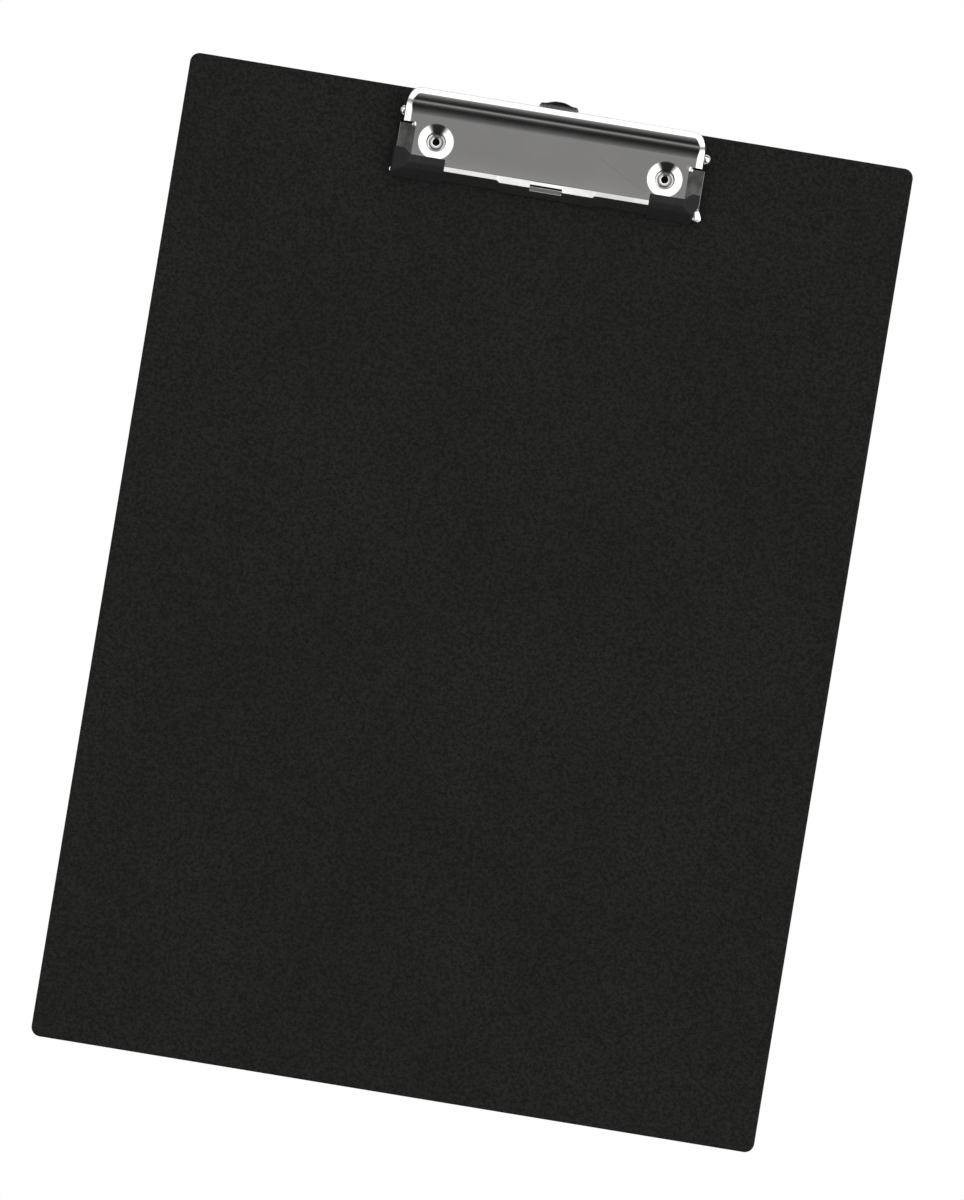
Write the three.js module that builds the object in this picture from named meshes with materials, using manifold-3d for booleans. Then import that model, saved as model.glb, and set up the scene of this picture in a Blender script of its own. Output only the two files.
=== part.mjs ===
// Clipboard: a foil-covered board with a sprung lever clip and a pull-out hanging hook.
// Millimetres. X runs right, Y towards the clip end, Z up. The origin is the centre of the board's back face.

import * as THREE from 'three';
import { mergeVertices } from 'three/addons/utils/BufferGeometryUtils.js';
import Module from 'manifold-3d';

const wasm = await Module();
wasm.setup();

// ---- driving dimensions ----

const board = {
  width: 230,
  length: 313,
  thickness: 3.0,
  cornerRadius: 3,
  sheet: 0.4,       // thickness of the wrapped foil
  backStep: 0.3,    // how far the turned-in foil sits above the liner's back
  turnIn: 9,        // width of the foil turned in at the back
  linerInset: 4.5,
  linerThickness: 0.2,
  play: 0.1,
};

// The clip's own frame: x from its middle, y from the board's top edge, z from the board's back.
const clipOffset = 1.75;

const pivot = { y: -7.5, z: 6.7, rodRadius: 1.3, earHole: 1.5, baseHole: 1.42 };

const jaw = {
  sheet: 0.9,
  face: 10.0,           // height of the flat top
  lipY: -27.5,
  lipBottom: 3.6,
  lipKnee: [-24.4, 8.5],
  faceFront: -22.9,
  flangeStart: -8.15,   // where the flat top turns up into the thumb flange
  flangeRadius: 5.6,
  flangeAngle: 60,
  rimRadius: 2.2,
  leverHalf: 48.0,
  leverTopHalf: 44.6,
  cornerRadius: 4.0,
  cornerShift: 0.7,     // how far the corner arcs stand out past the narrowed top
  taperStart: -7,       // where the lever's sides start to narrow
  slitFront: -11.3,
  slitBack: -10.7,
  slitFrom: 44.8,
  slopeFrom: 43.7,
  skirtHalf: 48.2,
  skirtTop: 6.2,
};

const ear = {
  radius: 3.2,
  cut: [3.0, 2.8, 2.6],   // heights of the flange cut above the rod: at the slit, before and past the ear
  rimFront: [-1.8, 11.2],
  rimBack: [2, 12.0],
};

const dimple = {
  x: 36.35,
  y: -15.8,
  outer: 5.4,
  inner: 3.5,
  depth: 1.3,
  rim: 0.4,
  ease: 0.06,     // how far the cone's shoulders stand in from the sheet's faces
  inset: 0.1,
  thinning: 0.25, // how much thinner the cone is at the hole
};

const bulge = {
  half: 15.5,
  proud: 0.7,
  recessHalf: 5,
  recessDepth: 0.5,
  recessFront: -24.6,
  top: 0.4,       // how far below the face the bulge starts
  back: 0.3,      // how far before the face's front edge it starts
  foot: 0.1,      // how far it reaches below the lip's foot
  roomTop: 0.35,  // the hollow behind it, above the knee
  roomBack: 0.8,
};

const grip = { from: 32.5, back: -20.5, thickness: 0.65, gap: 0.15, bottom: 3.1, wrap: 1.6 };

const base = {
  half: 45,
  back: -1.5,
  front: -21.5,
  bottom: 3.1,
  sheet: 1.0,
  earSheet: 1.0,
  earRadius: 2.3,
  earFoot: 4.2,
};

const rod = { half: 50, headRadius: 1.7, headLength: 1.7, faceRadius: 1.4, chamfer: 0.4 };

const channel = { half: 7.9, wall: 1.0, roof: 4.15, front: -18.0, mouthHalf: 6.65, mouthLength: 1.7 };

const hook = {
  half: 6.25,
  bottom: 3.2,
  sheet: 0.8,
  inner: -17.2,
  lugHalf: 7.3,
  lugLength: 1.2,
  holeY: -7.0,
  holeRadius: 3.1,
  shoulder: 2.6,     // how far the finger lip reaches past the board's edge
  nose: 3.5,
  noseHalf: 3.0,
  noseTaper: 0.6,
  corner: 0.8,
  lipBend: 50,
  lipRadius: 2.2,
  lipStart: 0.6,
  lipLength: 3,
};

const spring = {
  x: 20,
  turns: 5,
  pitch: 0.9,
  wire: 0.4,
  mean: 1.9,
  perTurn: 14,            // points along one turn
  baseLeg: [-2.8, 4.62],  // end of the leg that lies on the base plate
  flangeLeg: [-82, -52],  // angles of the leg that lies under the thumb flange
};

const rivet = {
  head: 3.2,
  headBottom: 4.2,
  headTop: 5.1,
  headEdge: 0.4,
  crown: 0.9,
  bevel: 0.4,
  countersink: 0.3,
  shank: 1.8,
  bore: 1.25,
  boreBottom: 0.15,
  tail: 2.9,
  tailBottom: 0.1,
  tailTop: 0.5,
  tailRoot: 0.55,
};

const washer = { inner: 2.0, outer: 4.8, bottom: 0.65, top: 1.25 };

const counterbore = { radius: 5.2, top: 1.35 };

const shankHole = 1.95;

const overlap = 0.2;      // how far joined solids reach into each other
const far = 60;           // a cutter's reach beyond everything
const front = -40;        // a cutter's start in front of the lip
const above = 30;         // a cutter's top above everything
const weldStep = 0.004;   // corners nearer than this are one corner

// ---- materials ----

const finishes = {
  foil: { color: 0x222220, roughness: 0.7, metalness: 0 },
  core: { color: 0x8a7a62, roughness: 0.9, metalness: 0 },
  liner: { color: 0x1c1c1b, roughness: 0.8, metalness: 0 },
  nickel: { color: 0xb9b9b7, roughness: 0.16, metalness: 1 },
  springSteel: { color: 0x8d8f92, roughness: 0.3, metalness: 1 },
  zinc: { color: 0xa9abad, roughness: 0.35, metalness: 1 },
  rubber: { color: 0x1b1b1c, roughness: 0.6, metalness: 0 },
};

// ---- small tools ----

/** A solid from closed three.js geometry, with its shared vertices merged. */
function solid(geometry) {
  const bare = geometry.clone();
  bare.deleteAttribute('normal');
  bare.deleteAttribute('uv');
  const merged = mergeVertices(bare, 1e-5);
  return new wasm.Manifold(new wasm.Mesh({
    numProp: 3,
    vertProperties: new Float32Array(merged.attributes.position.array),
    triVerts: new Uint32Array(merged.index.array),
  }));
}

/** three.js geometry from a solid. */
function geometryOf(body) {
  const mesh = body.simplify(weldStep).getMesh();
  const geometry = new THREE.BufferGeometry();
  geometry.setAttribute('position', new THREE.BufferAttribute(mesh.vertProperties, 3));
  geometry.setIndex(new THREE.BufferAttribute(mesh.triVerts, 1));
  geometry.computeVertexNormals();
  return geometry;
}

/** A shape through points given as pairs. */
function outline(points) {
  return new THREE.Shape(points.map(([a, b]) => new THREE.Vector2(a, b)));
}

/** Points of an arc, in degrees, both ends included. */
function arc(cx, cy, radius, from, to, steps) {
  return Array.from({ length: steps + 1 }, (_, i) => {
    const angle = THREE.MathUtils.degToRad(from + ((to - from) * i) / steps);
    return [cx + radius * Math.cos(angle), cy + radius * Math.sin(angle)];
  });
}

/** A plan shape raised from z0 to z1. */
function raised(shape, z0, z1) {
  const geometry = new THREE.ExtrudeGeometry(shape, { depth: z1 - z0, bevelEnabled: false });
  return solid(geometry.translate(0, 0, z0));
}

/** A side-view shape (y, z) run across from x0 to x1. */
function across(shape, x0, x1) {
  const geometry = new THREE.ExtrudeGeometry(shape, { depth: x1 - x0, bevelEnabled: false });
  const turn = new THREE.Matrix4().makeBasis(
    new THREE.Vector3(0, 1, 0), new THREE.Vector3(0, 0, 1), new THREE.Vector3(1, 0, 0));
  return solid(geometry.applyMatrix4(turn).translate(x0, 0, 0));
}

/** A front-view shape (x, z) run along from y0 to y1. */
function along(shape, y0, y1) {
  const geometry = new THREE.ExtrudeGeometry(shape, { depth: y1 - y0, bevelEnabled: false });
  const turn = new THREE.Matrix4().makeBasis(
    new THREE.Vector3(1, 0, 0), new THREE.Vector3(0, 0, 1), new THREE.Vector3(0, -1, 0));
  return solid(geometry.applyMatrix4(turn).translate(0, y1, 0));
}

/** A box from its limits. */
function box(x0, x1, y0, y1, z0, z1) {
  const geometry = new THREE.BoxGeometry(x1 - x0, y1 - y0, z1 - z0);
  return solid(geometry.translate((x0 + x1) / 2, (y0 + y1) / 2, (z0 + z1) / 2));
}

/** An upright disc from z0 to z1. */
function disc(x, y, radius, z0, z1, segments = 32) {
  const geometry = new THREE.CylinderGeometry(radius, radius, z1 - z0, segments);
  return solid(geometry.rotateX(Math.PI / 2).translate(x, y, (z0 + z1) / 2));
}

/** A round bar lying across, from x0 to x1. */
function bar(y, z, radius, x0, x1, segments = 24) {
  const geometry = new THREE.CylinderGeometry(radius, radius, x1 - x0, segments);
  return solid(geometry.rotateZ(Math.PI / 2).translate((x0 + x1) / 2, y, z));
}

/** A turned piece standing upright at (x, y), from its (radius, z) profile. */
function turned(profile, x, y, segments = 32) {
  const geometry = new THREE.LatheGeometry(profile.map(([r, z]) => new THREE.Vector2(r, z)), segments);
  return solid(geometry.rotateX(Math.PI / 2).translate(x, y, 0));
}

/** The line through points moved sideways to its left by a distance, corners mitred. */
function shifted(points, distance) {
  return points.map((point, i) => {
    const before = points[Math.max(i - 1, 0)];
    const after = points[Math.min(i + 1, points.length - 1)];
    const a = new THREE.Vector2(point[0] - before[0], point[1] - before[1]);
    const b = new THREE.Vector2(after[0] - point[0], after[1] - point[1]);
    if (i === 0) a.copy(b);
    if (i === points.length - 1) b.copy(a);
    a.normalize();
    b.normalize();
    const mitre = new THREE.Vector2(-a.y - b.y, a.x + b.x);
    const scale = (2 * distance) / mitre.lengthSq();
    return [point[0] + mitre.x * scale, point[1] + mitre.y * scale];
  });
}

const mirrorX = (body) => body.mirror([1, 0, 0]);

const bothSides = (body) => body.add(mirrorX(body));

/** A rectangle with round corners, centred on the origin. */
function roundedPlate(width, length, radius) {
  const [w, l] = [width / 2 - radius, length / 2 - radius];
  const corners = [[w, l, 0], [-w, l, 90], [-w, -l, 180], [w, -l, 270]];
  return outline(corners.flatMap(([x, y, from]) => arc(x, y, radius, from, from + 90, 5)));
}

// ---- board ----

/** A flat plate with the board's outline, set in from its edge. */
function boardPlate(inset, z0, z1) {
  const radius = Math.max(board.cornerRadius - inset, 1);
  return raised(roundedPlate(board.width - 2 * inset, board.length - 2 * inset, radius), z0, z1);
}

/** Upright discs at both rivets, in the board's frame. */
function atRivets(radius, z0, z1) {
  const y = board.length / 2 + dimple.y;
  return disc(clipOffset - dimple.x, y, radius, z0, z1).add(disc(clipOffset + dimple.x, y, radius, z0, z1));
}

function frontCover() {
  const { thickness, sheet, backStep, turnIn } = board;
  return boardPlate(0, backStep, thickness)
    .subtract(boardPlate(sheet, backStep + sheet, thickness - sheet))
    .subtract(boardPlate(turnIn, 0, backStep + sheet + overlap))
    .subtract(atRivets(shankHole, 1, thickness + 1));
}

function boardCore() {
  const { thickness, sheet, backStep, turnIn, play } = board;
  return boardPlate(sheet + play, backStep + sheet + play, thickness - sheet - play)
    .add(boardPlate(turnIn + play, backStep, backStep + sheet + play + overlap))
    .subtract(atRivets(counterbore.radius, 0, counterbore.top))
    .subtract(atRivets(shankHole, 0, thickness));
}

function backLiner() {
  return boardPlate(board.linerInset, 0, board.linerThickness).subtract(atRivets(counterbore.radius, -1, 1));
}

// ---- jaw plate ----

/** The jaw's upper surface in side view, from the lip's foot over the face to the end of the rolled rim. */
function jawLine() {
  const { face, flangeStart, flangeRadius, flangeAngle, rimRadius } = jaw;
  const angle = THREE.MathUtils.degToRad(flangeAngle);
  const rimY = flangeStart + (flangeRadius + rimRadius) * Math.sin(angle);
  const rimZ = face + flangeRadius - (flangeRadius + rimRadius) * Math.cos(angle);
  return [
    [jaw.lipY, jaw.lipBottom],
    jaw.lipKnee,
    [jaw.faceFront, face],
    ...arc(flangeStart, face + flangeRadius, flangeRadius, -90, flangeAngle - 90, 7),
    ...arc(rimY, rimZ, rimRadius, 90 + flangeAngle, 90 - flangeAngle, 9).slice(1),
  ];
}

/** Everything under the jaw's upper surface, with that surface moved out by grow. */
function underJaw(grow) {
  const line = shifted(jawLine(), grow);
  const [first, last] = [line[0], line[line.length - 1]];
  return across(outline([...line, [last[0], 0], [first[0], 0]].reverse()), -far, far);
}

/** What is hollow under the sheet: open at the foot and behind the rolled rim. */
function jawHollow() {
  const line = shifted(jawLine(), -jaw.sheet);
  const rimEnd = jawLine().pop();
  const first = line[0];
  const points = [...line, rimEnd, [rimEnd[0] + 5, rimEnd[1]], [rimEnd[0] + 5, 0], [first[0], 0]];
  return across(outline(points.reverse()), -far, far);
}

/** The upper surface of the jaw's right end in front view. */
function endLine() {
  return [[jaw.slopeFrom, 20], [jaw.slopeFrom, jaw.face], [jaw.skirtHalf, jaw.skirtTop], [jaw.skirtHalf, 0]];
}

/** Everything between the two sloped ends, with them moved out by grow. */
function betweenEnds(grow) {
  const right = shifted(endLine(), grow);
  const left = right.map(([x, z]) => [-x, z]).reverse();
  return along(outline([...right, ...left].reverse()), -far, far);
}

/** The lever's plan outline between its side flanges, narrowed by inset. */
function leverPlan(inset) {
  const half = jaw.leverHalf - inset;
  const topHalf = jaw.leverTopHalf - inset;
  const top = jawLine().pop()[0] - inset;
  const radius = jaw.cornerRadius - inset;
  const corner = arc(topHalf - radius + jaw.cornerShift, top - radius, radius, 12, 90, 7);
  const right = [[half, -far], [half, jaw.taperStart], ...corner];
  const left = right.map(([x, y]) => [-x, y]).reverse();
  return raised(outline([...right, ...left]), -1, above);
}

/** Side view of what is kept of the side flanges: the rim's depth at the back, a round ear on the rod. */
function earZone() {
  const { y, z } = pivot;
  const [cutFront, cutBefore, cutPast] = ear.cut;
  const points = [
    [jaw.slitFront, above],
    [jaw.slitFront, z + cutFront],
    [y - ear.radius, z + cutBefore],
    ...arc(y, z, ear.radius, -180, 0, 12),
    [y + ear.radius, z + cutPast],
    ear.rimFront,
    ear.rimBack,
    [ear.rimBack[0], above],
  ];
  return across(outline(points), -far, far);
}

/** A cone pressed down round a rivet's access hole. */
function dimpleRing(x) {
  const { outer, inner, depth, rim, y, ease, inset, thinning } = dimple;
  const top = jaw.face;
  const bottom = top - jaw.sheet;
  const profile = [
    [inner, top - depth],
    [inner, bottom - depth + thinning],
    [outer - inset, bottom + ease],
    [outer + rim, bottom + overlap],
    [outer + rim, top - overlap],
    [outer + ease, top - ease],
    [inner, top - depth],
  ];
  return turned(profile, x, y, 36);
}

/** The middle of the lip, pressed out and pushed back in a short recess. */
function lipBulge() {
  const { half, proud, recessHalf, recessDepth, recessFront, top, back, foot } = bulge;
  const zone = box(-half, half, front, jaw.faceFront - back, jaw.lipBottom - foot, jaw.face - top);
  const shell = underJaw(proud).subtract(underJaw(proud - jaw.sheet));
  const recess = underJaw(proud + 1).subtract(underJaw(proud - recessDepth));
  const recessZone = box(-recessHalf, recessHalf, front, recessFront, jaw.lipBottom - 1, jaw.face);
  return shell.intersect(zone).subtract(recess.intersect(recessZone));
}

function jawPlate() {
  const lever = underJaw(0)
    .intersect(leverPlan(0))
    .subtract(jawHollow().intersect(leverPlan(jaw.sheet)))
    .intersect(earZone());
  const body = underJaw(0)
    .intersect(betweenEnds(0))
    .subtract(jawHollow().intersect(betweenEnds(-jaw.sheet)))
    .intersect(box(-far, far, front, jaw.slitFront + overlap, jaw.lipBottom, above));
  const slit = box(jaw.slitFrom, far, jaw.slitFront, jaw.slitBack, 0, above);
  const earHole = bar(pivot.y, pivot.z, pivot.earHole, jaw.slitFrom, far);
  const access = disc(dimple.x, dimple.y, dimple.outer, 0, above, 36);
  const openings = bothSides(slit.add(earHole).add(access));
  const roomHalf = bulge.half - overlap;
  const roomTop = jaw.lipKnee[1] + bulge.roomTop;
  const bulgeRoom = box(-roomHalf, roomHalf, front, jaw.faceFront - bulge.roomBack, 0, roomTop);
  return lever
    .add(body)
    .subtract(openings)
    .add(dimpleRing(dimple.x))
    .add(dimpleRing(-dimple.x))
    .subtract(bulgeRoom.subtract(underJaw(-jaw.sheet)))
    .add(lipBulge());
}

/** The right-hand rubber cap on the jaw's front corner, wrapped under the lip's foot. */
function cornerGrip() {
  const { from, back, thickness, gap, bottom, wrap } = grip;
  const zone = box(from, far, front, back, bottom, above);
  const skin = (grow) => underJaw(grow).intersect(betweenEnds(grow));
  const aboveFoot = box(-far, far, -far, 0, jaw.lipBottom - gap, above);
  const wall = skin(thickness).subtract(skin(gap).intersect(aboveFoot));
  const room = underJaw(-wrap).intersect(betweenEnds(-wrap));
  return wall.subtract(room).intersect(zone);
}

// ---- base plate and hinge ----

function basePlate() {
  const { half, back, bottom, sheet, earSheet, earRadius, earFoot } = base;
  const top = bottom + sheet;
  const roofTop = channel.roof + channel.wall;
  const outerHalf = channel.half + channel.wall;
  const rodEar = across(outline([
    [pivot.y + earFoot, bottom],
    ...arc(pivot.y, pivot.z, earRadius, 0, 180, 10),
    [pivot.y - earFoot, bottom],
  ]), half - earSheet, half);
  const mouthBack = back - channel.mouthLength;
  const mouthLug = box(channel.mouthHalf, channel.half + overlap, mouthBack, back, bottom, top);
  return box(-half, half, base.front, back, bottom, top)
    .add(box(-outerHalf, outerHalf, channel.front - channel.wall, back, bottom, roofTop))
    .subtract(box(-channel.half, channel.half, channel.front, back + 1, 0, channel.roof))
    .add(bothSides(rodEar.add(mouthLug)))
    .subtract(bar(pivot.y, pivot.z, pivot.baseHole, -far, far))
    .subtract(bothSides(disc(dimple.x, dimple.y, shankHole, 0, 6)));
}

/** A rod along X with a small head riveted over at each end. */
function pivotRod() {
  const { half, headRadius, headLength, faceRadius, chamfer } = rod;
  const headStart = headLength - half;
  const profile = [
    [0, -half],
    [faceRadius, -half],
    [headRadius, chamfer - half],
    [headRadius, headStart],
    [pivot.rodRadius, headStart],
  ];
  const otherEnd = profile.map(([r, x]) => [r, -x]).reverse();
  const points = [...profile, ...otherEnd].map(([r, x]) => new THREE.Vector2(r, x));
  const geometry = new THREE.LatheGeometry(points, 20);
  return solid(geometry.rotateZ(-Math.PI / 2).translate(0, pivot.y, pivot.z));
}

/** A tubular rivet: head on the base plate, tail flared over a washer. */
function rivetSolid(x) {
  const { head, headBottom, headTop, headEdge, crown, bevel, countersink } = rivet;
  const { shank, bore, boreBottom, tail, tailBottom, tailTop, tailRoot } = rivet;
  const profile = [
    [bore, boreBottom],
    [tail, tailBottom],
    [tail, tailTop],
    [shank, tailRoot],
    [shank, headBottom],
    [head, headBottom],
    [head, headBottom + headEdge],
    [head - crown, headTop],
    [bore + bevel, headTop],
    [bore, headTop - countersink],
    [bore, boreBottom],
  ];
  return turned(profile, x, dimple.y, 28);
}

function rivetWasher(x) {
  const { inner, outer, bottom, top } = washer;
  const profile = [[inner, bottom], [outer, bottom], [outer, top], [inner, top], [inner, bottom]];
  return turned(profile, x, dimple.y, 28);
}

/** A coil round the rod, one leg along the base plate and one under the thumb flange. */
function torsionSpring(x) {
  const { turns, pitch, wire, mean, perTurn, baseLeg, flangeLeg } = spring;
  const length = turns * pitch;
  const centre = jaw.flangeStart;
  const centreZ = jaw.face + jaw.flangeRadius;
  const legRadius = centreZ - pivot.z - mean;
  const points = [new THREE.Vector3(x - length / 2, ...baseLeg)];
  const steps = perTurn * turns + perTurn / 2;
  for (let i = 0; i <= steps; i += 1) {
    const angle = -Math.PI / 2 - (i / perTurn) * 2 * Math.PI;
    const at = x - length / 2 + (length * i) / steps;
    points.push(new THREE.Vector3(at, pivot.y + mean * Math.cos(angle), pivot.z + mean * Math.sin(angle)));
  }
  arc(centre, centreZ, legRadius, ...flangeLeg, 3).forEach(([y, z]) => {
    points.push(new THREE.Vector3(x + length / 2, y, z));
  });
  const path = new THREE.CatmullRomCurve3(points);
  const section = outline(arc(0, 0, wire, 0, 300, 5));
  const sweep = { steps: points.length + 10, extrudePath: path, bevelEnabled: false };
  return solid(new THREE.ExtrudeGeometry(section, sweep));
}

// ---- hanging hook ----

/** A flat tongue with a nail hole, stop lugs at its inner end and a finger lip bent up at its outer end. */
function hangerHook() {
  const { half, bottom, sheet, inner, lugHalf, lugLength, shoulder, corner } = hook;
  const { nose, noseHalf, noseTaper, lipBend, lipRadius, lipStart, lipLength } = hook;
  const bend = arc(lipStart, bottom + lipRadius, lipRadius, -90, lipBend - 90, 4);
  const end = bend[bend.length - 1];
  const rise = THREE.MathUtils.degToRad(lipBend);
  const tip = [end[0] + lipLength * Math.cos(rise), end[1] + lipLength * Math.sin(rise)];
  const under = [[inner, bottom], ...bend, tip];
  const over = shifted(under, sheet).reverse();
  const strip = across(outline([...under, ...over]), -lugHalf, lugHalf);
  const plan = [
    [lugHalf, inner - 1],
    [lugHalf, inner + lugLength],
    [half, inner + lugLength],
    [half, shoulder - corner],
    [half - corner, shoulder],
    [noseHalf + noseTaper, shoulder],
    [noseHalf - noseTaper, nose],
  ];
  const left = plan.map(([x, y]) => [-x, y]).reverse();
  return strip
    .intersect(raised(outline([...plan, ...left]), 0, 20))
    .subtract(disc(0, hook.holeY, hook.holeRadius, 0, 20, 28));
}

// ---- assembly ----

const clipboard = new THREE.Group();
const clip = new THREE.Group();
clip.position.set(clipOffset, board.length / 2, 0);
clipboard.add(clip);

/** Adds a solid to a group as a named mesh with its own material. */
function place(group, name, body, finish) {
  const mesh = new THREE.Mesh(geometryOf(body), new THREE.MeshStandardMaterial(finishes[finish]));
  mesh.name = name;
  group.add(mesh);
}

place(clipboard, 'board_core', boardCore(), 'core');
place(clipboard, 'front_cover', frontCover(), 'foil');
place(clipboard, 'back_liner', backLiner(), 'liner');

place(clip, 'base_plate', basePlate(), 'zinc');
place(clip, 'jaw_plate', jawPlate(), 'nickel');
place(clip, 'pivot_rod', pivotRod(), 'nickel');
place(clip, 'hanger_hook', hangerHook(), 'nickel');
place(clip, 'corner_grip_right', cornerGrip(), 'rubber');
place(clip, 'corner_grip_left', mirrorX(cornerGrip()), 'rubber');

[['left', -1], ['right', 1]].forEach(([side, sign]) => {
  place(clip, `torsion_spring_${side}`, torsionSpring(sign * spring.x), 'springSteel');
  place(clip, `rivet_${side}`, rivetSolid(sign * dimple.x), 'nickel');
  place(clip, `rivet_washer_${side}`, rivetWasher(sign * dimple.x), 'zinc');
});

export default clipboard;
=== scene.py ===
# Clipboard: foil-covered board, sprung lever clip with rubber corner grips, pull-out hanging hook.
# Lengths in the piece dictionaries are millimetres in the clip's own frame: x from the clip's middle,
# y from the board's top edge (negative down the board), z from the board's back.
import math

import bmesh
import bpy
import numpy as np
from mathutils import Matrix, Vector


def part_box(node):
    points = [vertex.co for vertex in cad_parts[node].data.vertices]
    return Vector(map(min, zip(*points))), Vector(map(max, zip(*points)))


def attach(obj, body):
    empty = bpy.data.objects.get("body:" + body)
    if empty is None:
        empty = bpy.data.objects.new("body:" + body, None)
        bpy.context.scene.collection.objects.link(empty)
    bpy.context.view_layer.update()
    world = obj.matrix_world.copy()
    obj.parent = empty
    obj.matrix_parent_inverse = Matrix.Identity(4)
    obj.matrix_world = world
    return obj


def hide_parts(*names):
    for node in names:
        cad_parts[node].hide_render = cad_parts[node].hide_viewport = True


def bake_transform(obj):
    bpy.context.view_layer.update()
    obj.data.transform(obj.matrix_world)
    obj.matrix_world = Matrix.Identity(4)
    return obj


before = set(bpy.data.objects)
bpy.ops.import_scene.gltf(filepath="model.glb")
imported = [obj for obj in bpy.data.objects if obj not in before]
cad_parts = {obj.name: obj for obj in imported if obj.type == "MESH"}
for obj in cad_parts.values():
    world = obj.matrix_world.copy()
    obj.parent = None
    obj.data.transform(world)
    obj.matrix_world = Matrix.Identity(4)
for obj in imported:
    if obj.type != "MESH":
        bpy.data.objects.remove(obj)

mm = 0.001
scene = bpy.context.scene
sharpAngle = math.radians(31)
upward = Vector((0, 0, 1))
axisGap = 0.001     # mm, smallest radius of a turned piece
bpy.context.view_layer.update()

boardLow, boardHigh = (np.array(corner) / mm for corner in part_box("front_cover"))
rodLow, rodHigh = (np.array(corner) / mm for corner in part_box("pivot_rod"))
clipX = (rodLow[0] + rodHigh[0]) / 2
topEdge = boardHigh[1]
hingeY = (rodLow[1] + rodHigh[1]) / 2 - topEdge
hingeZ = (rodLow[2] + rodHigh[2]) / 2

print("frame loaded: clip middle at x", round(clipX, 2), "mm, hinge at z", round(hingeZ, 2), "mm")


def toFrame(points):  # clip millimetres -> metres in the shared frame
    return (np.asarray(points, float) + [clipX, topEdge, 0.0]) * mm


def gridPatch(points, keep=None, wrapRows=False, wrapColumns=False):
    # quads between neighbouring points of a rows x columns grid; keep leaves out cells
    rows, columns = points.shape[:2]
    number = np.arange(rows * columns).reshape(rows, columns)
    if wrapRows:
        number = np.vstack([number, number[:1]])
    if wrapColumns:
        number = np.hstack([number, number[:, :1]])
    quads = np.stack([number[:-1, :-1], number[:-1, 1:], number[1:, 1:], number[1:, :-1]], axis=-1)
    if keep is not None:
        quads = quads[keep]
    return points.reshape(-1, 3), quads.reshape(-1, 4)


def levelGrid(xs, ys, z):  # a row of points over every x for each y, all at height z
    x, y = np.meshgrid(xs, ys)
    return np.dstack([x, y, np.full(x.shape, z)])


def joinPatches(patches):  # several patches as one list of points and one of quads
    points, quads, start = [], [], 0
    for patchPoints, patchQuads in patches:
        points.append(patchPoints)
        quads.append(patchQuads + start)
        start += len(patchPoints)
    return np.vstack(points), np.vstack(quads)


def endCaps(points, count):  # the first and the last ring of count points, each as one face
    return [range(count), range(len(points) - count, len(points))]


def addObject(name, data):
    made = bpy.data.objects.new(name, data)
    scene.collection.objects.link(made)
    return made


finishing = {"segments": 2, "flatWeight": 80}   # of a rounded edge; how strongly large faces rule the shading


def finishEdges(piece, width, angle):  # rounds edges sharper than angle, then keeps flats flat in shading
    bevel = piece.modifiers.new("edges", "BEVEL")
    bevel.width = width * mm
    bevel.segments = finishing["segments"]
    bevel.limit_method = "ANGLE"
    bevel.angle_limit = math.radians(angle)
    weighted = piece.modifiers.new("flats", "WEIGHTED_NORMAL")
    weighted.keep_sharp = True
    weighted.weight = finishing["flatWeight"]


def thicken(piece, thickness):  # the sheet's thickness grows on the hollow side
    wall = piece.modifiers.new("sheet", "SOLIDIFY")
    wall.thickness = thickness * mm
    wall.offset = -1
    wall.use_quality_normals = True


def meshPiece(name, points, quads, material, body, nodes=(), weld=0.004, facing=None, caps=(),
        sheet=0, rounding=None):
    # one object from points in metres; facing turns an open sheet's normals to that side, sheet
    # thickens it, and rounding is the (width, angle) of its rounded edges
    mesh = bpy.data.meshes.new(name)
    faces = quads.tolist() + [list(cap) for cap in caps]
    mesh.from_pydata(points.tolist(), [], faces)
    work = bmesh.new()
    work.from_mesh(mesh)
    bmesh.ops.remove_doubles(work, verts=work.verts, dist=weld * mm)
    loose = [v for v in work.verts if not v.link_faces]
    bmesh.ops.delete(work, geom=loose, context="VERTS")
    bmesh.ops.recalc_face_normals(work, faces=work.faces)
    if facing is not None:
        total = sum((face.normal * face.calc_area() for face in work.faces), start=Vector())
        if total.dot(facing) < 0:
            bmesh.ops.reverse_faces(work, faces=work.faces)
    for face in work.faces:
        face.smooth = True
    for edge in work.edges:
        edge.smooth = len(edge.link_faces) == 2 and edge.calc_face_angle(0.0) < sharpAngle
    work.to_mesh(mesh)
    work.free()
    piece = addObject(name, mesh)
    piece.data.materials.append(material)
    if body:
        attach(piece, body)
    if nodes:
        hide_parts(*nodes)
    if sheet:
        thicken(piece, sheet)
    if rounding:
        finishEdges(piece, *rounding)
    return piece


def filletLine(corners, radii, steps=6):
    # a 2D line through corners; each inner corner is an arc of its radius, tangent to both sides
    corners = [np.array(corner, float) for corner in corners]
    line = [corners[0]]
    for before, here, after, radius in zip(corners, corners[1:], corners[2:], radii):
        into = (here - before) / np.linalg.norm(here - before)
        out = (after - here) / np.linalg.norm(after - here)
        turn = math.acos(np.clip(np.dot(into, out), -1, 1))
        side = math.copysign(1, into[0] * out[1] - into[1] * out[0])
        reach = radius * math.tan(turn / 2)
        start = here - into * reach
        normal = np.array([-into[1], into[0]]) * side
        centre = start + normal * radius
        for part in np.linspace(0, turn, steps + 1):
            line.append(centre - normal * radius * math.cos(part) + into * radius * math.sin(part))
    line.append(corners[-1])
    return np.array(line)


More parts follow.
